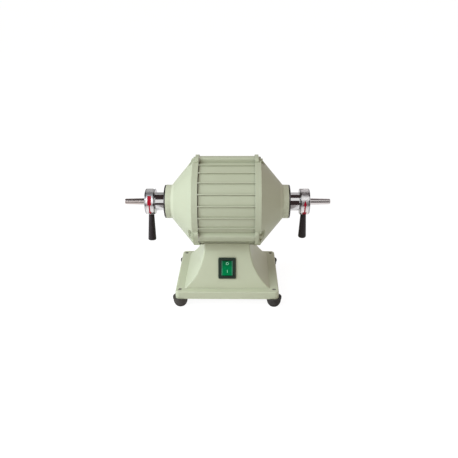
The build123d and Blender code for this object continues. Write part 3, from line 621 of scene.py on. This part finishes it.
def arrow_tree(finish):
    """Geometry Nodes tree for one arrow; angles are in radians, 0 at the front and rising upwards."""
    tree = bpy.data.node_groups.new("rolled_arrow", "GeometryNodeTree")
    tree.interface.new_socket("Geometry", in_out="OUTPUT", socket_type="NodeSocketGeometry")
    sizes = ("Roll Radius", "Axis Height", "Middle X", "Start Angle", "Arc", "Bar Share", "Head Share",
             "Bar Width", "Line Width", "Head Width", "Thickness")
    for size in sizes:
        tree.interface.new_socket(size, in_out="INPUT", socket_type="NodeSocketFloat")
    board = Board(tree)
    given = {s: board.node("NodeGroupInput", out=s) for s in sizes}
    strip_mesh = board.node("GeometryNodeMeshGrid", {}, {
        "Size X": 1.0, "Size Y": 1.0, "Vertices X": points_along, "Vertices Y": points_across})
    place = board.node("GeometryNodeInputPosition")
    share = board.part_of(place, "X") + 0.5
    across = board.part_of(place, "Y")
    head_start = 1.0 - given["Head Share"]
    in_bar = given["Bar Share"] > share
    in_head = share > head_start
    head_width = given["Head Width"] * (1.0 - share) / given["Head Share"]
    width = in_bar * given["Bar Width"] + in_head * head_width
    width = width + (1.0 - in_bar) * (1.0 - in_head) * given["Line Width"]
    angle = given["Start Angle"] + share * given["Arc"]
    radius = given["Roll Radius"]
    rolled = board.node("ShaderNodeCombineXYZ", {}, {
        "X": given["Middle X"] + across * width,
        "Y": angle.cosine() * radius * -1.0,
        "Z": given["Axis Height"] + angle.sine() * radius,
    })
    wrapped = board.node("GeometryNodeSetPosition", {}, {"Geometry": strip_mesh, "Position": rolled})
    out_y = angle.cosine() * -1.0
    outwards = board.node("ShaderNodeCombineXYZ", {}, {"X": 0.0, "Y": out_y, "Z": angle.sine()})
    raised = board.node("GeometryNodeExtrudeMesh", {"mode": "FACES"}, {
        "Mesh": wrapped, "Offset": outwards, "Offset Scale": given["Thickness"], "Individual": False})
    closed = board.node("GeometryNodeJoinGeometry", {}, {"Geometry": [wrapped, raised]})
    realized = board.node("GeometryNodeRealizeInstances", {}, {"Geometry": closed})
    painted = board.node("GeometryNodeSetMaterial", {}, {"Geometry": realized, "Material": finish})
    board.node("NodeGroupOutput", {}, {"Geometry": painted})
    return tree


arrow = arrow_tree(red_paint)
print("arrow tree nodes:", len(arrow.nodes))

# %% From a tree to a plain mesh
weld_distance = 0.000001


def welded(mesh):
    """Joins doubled points of a mesh and turns its faces outwards."""
    shell = bmesh.new()
    shell.from_mesh(mesh)
    bmesh.ops.remove_doubles(shell, verts=shell.verts, dist=weld_distance)
    bmesh.ops.recalc_face_normals(shell, faces=shell.faces)
    shell.to_mesh(mesh)
    shell.free()


def grown(name, tree, sizes, finish):
    """Runs a tree with its sizes and keeps the result as a plain mesh."""
    seed = bpy.data.objects.new(name + "_seed", bpy.data.meshes.new(name + "_seed"))
    bpy.context.scene.collection.objects.link(seed)
    modifier = seed.modifiers.new("grow", "NODES")
    modifier.node_group = tree
    for item in tree.interface.items_tree:
        if item.in_out == "INPUT" and item.name in sizes:
            modifier[item.identifier] = sizes[item.name]
    ready = seed.evaluated_get(bpy.context.evaluated_depsgraph_get())
    mesh = bpy.data.meshes.new_from_object(ready)
    bpy.data.objects.remove(seed)
    welded(mesh)
    mesh.name = name
    mesh.materials.clear()
    mesh.materials.append(finish)
    piece = bpy.data.objects.new(name, mesh)
    bpy.context.scene.collection.objects.link(piece)
    return piece


print("weld distance mm:", 1000 * weld_distance)

# %% Paint one arrow on each collar
paint_sink = 0.00002
arrow_degrees = {"left": (45.5, -101.0), "right": (-76.5, 101.0)}
for side, (start, arc) in arrow_degrees.items():
    low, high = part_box(side + "_lever_collar")
    mark = grown(side + "_release_arrow", arrow, {
        "Roll Radius": (high.y - low.y) / 2 - paint_sink,
        "Axis Height": spindle_height,
        "Middle X": (low.x + high.x) / 2,
        "Start Angle": math.radians(start),
        "Arc": math.radians(arc),
        "Bar Share": 0.42,
        "Head Share": 0.23,
        "Bar Width": 0.0056,
        "Line Width": 0.0020,
        "Head Width": 0.0050,
        "Thickness": 0.00008,
    }, red_paint)
    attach(mark, side + "_lever")
    print(mark.name, "triangles:", sum(len(p.vertices) - 2 for p in mark.data.polygons))

# %% [markdown]
# ## The marks on the rocker
#
# The rocker has a pale ring for off on its upper facet and a bar for on below it. Both are thin inlays.
# The facets' planes are worked out from the panel's lean and the rocker's hinge, so that the marks lie
# on them. The marks stand a little to the right of the middle.

# %% The facets of the rocker
panel_lean = math.radians(18.03)
facet_half = math.radians(8.0)
valley_height = 0.0026


def facet_frame(side):
    """Start of one facet, and its axes up the facet and out of it; side is 1 for the upper one."""
    rest = panel_lean + facet_half
    panel_up = Vector((0, math.sin(rest), math.cos(rest)))
    panel_out = Vector((0, -math.cos(rest), math.sin(rest)))
    tilt = facet_half * side
    up = panel_up * math.cos(tilt) + panel_out * math.sin(tilt)
    out = panel_out * math.cos(tilt) - panel_up * math.sin(tilt)
    return pivot + panel_out * valley_height, up, out


for side in (1, -1):
    start = facet_frame(side)[0]
    print("facet", side, "starts at mm", [round(1000 * c, 2) for c in start])

# %% A thin inlay on a facet
inlay_half_height = 0.00006
mark_shift = Vector((0.0004, 0, 0))


def inlay(name, outlines, side, distance):
    """Thin raised shape from closed outlines in a facet's own plane; a second outline is a hole."""
    start, up, out = facet_frame(side)
    middle = start + up * (distance * side) + mark_shift
    curve = bpy.data.curves.new(name, "CURVE")
    curve.dimensions = "2D"
    curve.fill_mode = "BOTH"
    curve.extrude = inlay_half_height
    for outline in outlines:
        spline = curve.splines.new("POLY")
        spline.points.add(len(outline) - 1)
        spline.use_cyclic_u = True
        for point, (right, high) in zip(spline.points, outline):
            point.co = (right, high, 0.0, 1.0)
    drawn = bpy.data.objects.new(name + "_drawn", curve)
    bpy.context.scene.collection.objects.link(drawn)
    mesh = bpy.data.meshes.new_from_object(drawn.evaluated_get(bpy.context.evaluated_depsgraph_get()))
    bpy.data.objects.remove(drawn)
    rightwards = Vector((1, 0, 0))
    turn = Matrix((rightwards, up, out)).transposed().to_4x4()
    mesh.transform(Matrix.Translation(middle) @ turn)
    mesh.materials.clear()
    mesh.materials.append(pale_paint)
    mesh.name = name
    piece = bpy.data.objects.new(name, mesh)
    bpy.context.scene.collection.objects.link(piece)
    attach(piece, "rocker")
    return piece


print("inlays stand out mm:", 1000 * inlay_half_height)


# %% Ring and bar
def circle(radius, count=48):
    """Points of a circle."""
    steps = [2 * math.pi * i / count for i in range(count)]
    return [(radius * math.cos(a), radius * math.sin(a)) for a in steps]


def pill(length, width, count=10):
    """Points of an upright bar with round ends."""
    half, r = length / 2 - width / 2, width / 2
    steps = [math.pi * i / count for i in range(count + 1)]
    top = [(r * math.cos(a), half + r * math.sin(a)) for a in steps]
    return top + [(-x, -y) for x, y in top]


ring_outlines = [circle(radius=0.0020), circle(radius=0.00145)]
bar_outlines = [pill(length=0.0044, width=0.0005)]
off_ring = inlay("rocker_off_ring", ring_outlines, side=1, distance=0.0064)
on_bar = inlay("rocker_on_bar", bar_outlines, side=-1, distance=0.0052)
print("marks:", off_ring.name, on_bar.name)

# %% [markdown]
# ## Table, lamps and camera
#
# The machine stands on a white table, in cool daylight from two soft lamps at the left and warmer light
# from all round. The table is white to the camera but still takes a faint shadow. Chrome looks like
# chrome only when it has something dark to mirror, so a few dark and grey boards that only reflections
# can see stand overhead, low in front, at the back, and on the table beside the machine.

# %% White table
reach = 30.0
table_tone = (0.86, 0.86, 0.86, 1)
glow_strength = 1.16
camera_share = 0.80
mirror_share = 0.59
table = Finish("white_table")
seen = table.node("ShaderNodeLightPath", out="Is Camera Ray")
mirrored = table.node("ShaderNodeLightPath", out="Is Glossy Ray")
glow = table.node("ShaderNodeEmission", {}, {"Color": (1, 1, 1, 1), "Strength": glow_strength})
matte = table.node("ShaderNodeBsdfDiffuse", {}, {"Color": table_tone})
shown_white = (seen * camera_share + mirrored * mirror_share).limited()
blended = table.node("ShaderNodeMixShader", {}, {0: shown_white, 1: matte, 2: glow})
table.node("ShaderNodeOutputMaterial", {}, {"Surface": blended})

mesh = bpy.data.meshes.new("table_top")
table_corners = [(-reach, -reach, 0), (reach, -reach, 0), (reach, reach, 0), (-reach, reach, 0)]
mesh.from_pydata(table_corners, [], [(0, 1, 2, 3)])
mesh.materials.append(table.material)
table_top = bpy.data.objects.new("table_top", mesh)
bpy.context.scene.collection.objects.link(table_top)
print("table reaches m:", reach)

# %% Even light from all round
warm_fill = (0.500, 0.436, 0.417, 1.0)
world = bpy.data.worlds.new("studio")
bpy.context.scene.world = world
world.use_nodes = True
sky = Board(world.node_tree)
to_camera = sky.node("ShaderNodeLightPath", out="Is Camera Ray")
to_mirror = sky.node("ShaderNodeLightPath", out="Is Glossy Ray")
to_glass = sky.node("ShaderNodeLightPath", out="Is Transmission Ray")
white_share = (to_camera + to_mirror + to_glass).limited()
tones = {0: white_share, 6: warm_fill, 7: (1.0, 1.0, 1.0, 1.0)}
shown = sky.node("ShaderNodeMix", {"data_type": "RGBA"}, tones, out=2)
background = sky.node("ShaderNodeBackground", {}, {"Color": shown, "Strength": 1.0})
sky.node("ShaderNodeOutputWorld", {}, {"Surface": background})
print("world:", world.name)


# %% Boards that only reflections see
def reflection_board(name, corners, colour):
    """Board for reflections alone: it neither lights nor shades anything."""
    board = Finish(name)
    flat = board.node("ShaderNodeEmission", {}, {"Color": (*colour, 1), "Strength": 1.0})
    board.node("ShaderNodeOutputMaterial", {}, {"Surface": flat})
    shape = bpy.data.meshes.new(name)
    shape.from_pydata(corners, [], [(0, 1, 2, 3)])
    shape.materials.append(board.material)
    made = bpy.data.objects.new(name, shape)
    bpy.context.scene.collection.objects.link(made)
    made.visible_camera = made.visible_diffuse = made.visible_shadow = made.visible_transmission = False
    return made


def sheet(x_start, x_end, near, far):
    """Corners of a board between two lines along the machine, each given by its y and z."""
    return [(x_start, *near), (x_end, *near), (x_end, *far), (x_start, *far)]


def table_strip(inner, back_outer, front_outer):
    """Corners of a strip on the table beside the machine, which widens towards the camera."""
    back, front, above = -0.02, -0.33, 0.001
    return [
        (inner, back, above),
        (back_outer, back, above),
        (front_outer, front, above),
        (inner, front, above),
    ]


room_dark = (0.045, 0.030, 0.030)
room_grey = (0.40, 0.40, 0.40)
room_light = (0.62, 0.60, 0.61)
table_grey = (0.36, 0.33, 0.33)
boards = [
    reflection_board("dark_ceiling_left", sheet(-3.0, 0.0, (-0.95, 1.05), (0.40, 1.05)), room_dark),
    reflection_board("dark_ceiling_right", sheet(0.0, 3.0, (-0.42, 1.05), (0.40, 1.05)), room_dark),
    reflection_board("dark_front_left", sheet(-3.0, 0.06, (-0.34, 0.002), (-3.0, 0.26)), room_dark),
    reflection_board("dark_front_right", sheet(0.06, 3.0, (-0.33, 0.002), (-1.5, 1.05)), room_dark),
    reflection_board("grey_back_left", sheet(-3.0, 0.0, (0.45, 1.05), (3.0, 0.10)), room_grey),
    reflection_board("light_back_right", sheet(0.0, 3.0, (0.45, 1.05), (3.0, 0.10)), room_light),
    reflection_board("grey_table_left", table_strip(-0.05, -0.107, -0.157), table_grey),
    reflection_board("grey_table_right", table_strip(0.05, 0.107, 0.140), table_grey),
]
print("boards:", [b.name for b in boards])

# %% Two soft lamps at the left
daylight = (0.81, 0.91, 1.0)
lamp_size = 0.7
machine_middle = (0.0, 0.0, 0.13)


def soft_lamp(name, place, power):
    """Square area lamp that faces the machine."""
    lamp = bpy.data.lights.new(name, "AREA")
    lamp.size = lamp_size
    lamp.energy = power
    lamp.color = daylight
    made = bpy.data.objects.new(name, lamp)
    made.location = place
    made.rotation_euler = (Vector(machine_middle) - Vector(place)).to_track_quat("-Z", "Y").to_euler()
    bpy.context.scene.collection.objects.link(made)
    return made


side_lamp = soft_lamp("side_softbox", place=(-1.15, -0.30, 0.75), power=10.2)
front_lamp = soft_lamp("front_softbox", place=(-0.80, -0.80, 1.00), power=9.8)
for lamp in (side_lamp, front_lamp):
    print(lamp.name, "at", [round(c, 2) for c in lamp.location], "W", lamp.data.energy)

# %% [markdown]
# ## The camera
#
# The view was solved from the photograph: known lengths of the machine, such as the shaft and the base,
# were matched with where their ends appear, which gives the camera's place, its tilt and its lens. The
# picture is square, so the lens is written for a square of 458 points and a sensor 36 mm wide.

# %% Camera at the solved place
picture_points = 458
focal_points = 552.09
camera_place = (0.019048, -0.760282, 0.440698)
turn_degrees = 1.2703
down_degrees = 24.369
roll_degrees = -0.428
camera = bpy.data.objects.new("camera", bpy.data.cameras.new("camera"))
camera.data.sensor_fit = "AUTO"
camera.data.sensor_width = 36.0
camera.data.lens = focal_points / picture_points * camera.data.sensor_width
camera.data.clip_end = 100.0
turn = Matrix.Rotation(math.radians(turn_degrees), 4, "Z")
tilt = Matrix.Rotation(math.radians(90.0 - down_degrees), 4, "X")
roll = Matrix.Rotation(math.radians(roll_degrees), 4, "Z")
camera.matrix_world = Matrix.Translation(camera_place) @ turn @ tilt @ roll
bpy.context.scene.collection.objects.link(camera)
bpy.context.scene.camera = camera
bpy.context.scene.view_settings.view_transform = "Standard"
print("lens mm:", round(camera.data.lens, 2))

# %% Update the scene, then finish
bpy.context.view_layer.update()
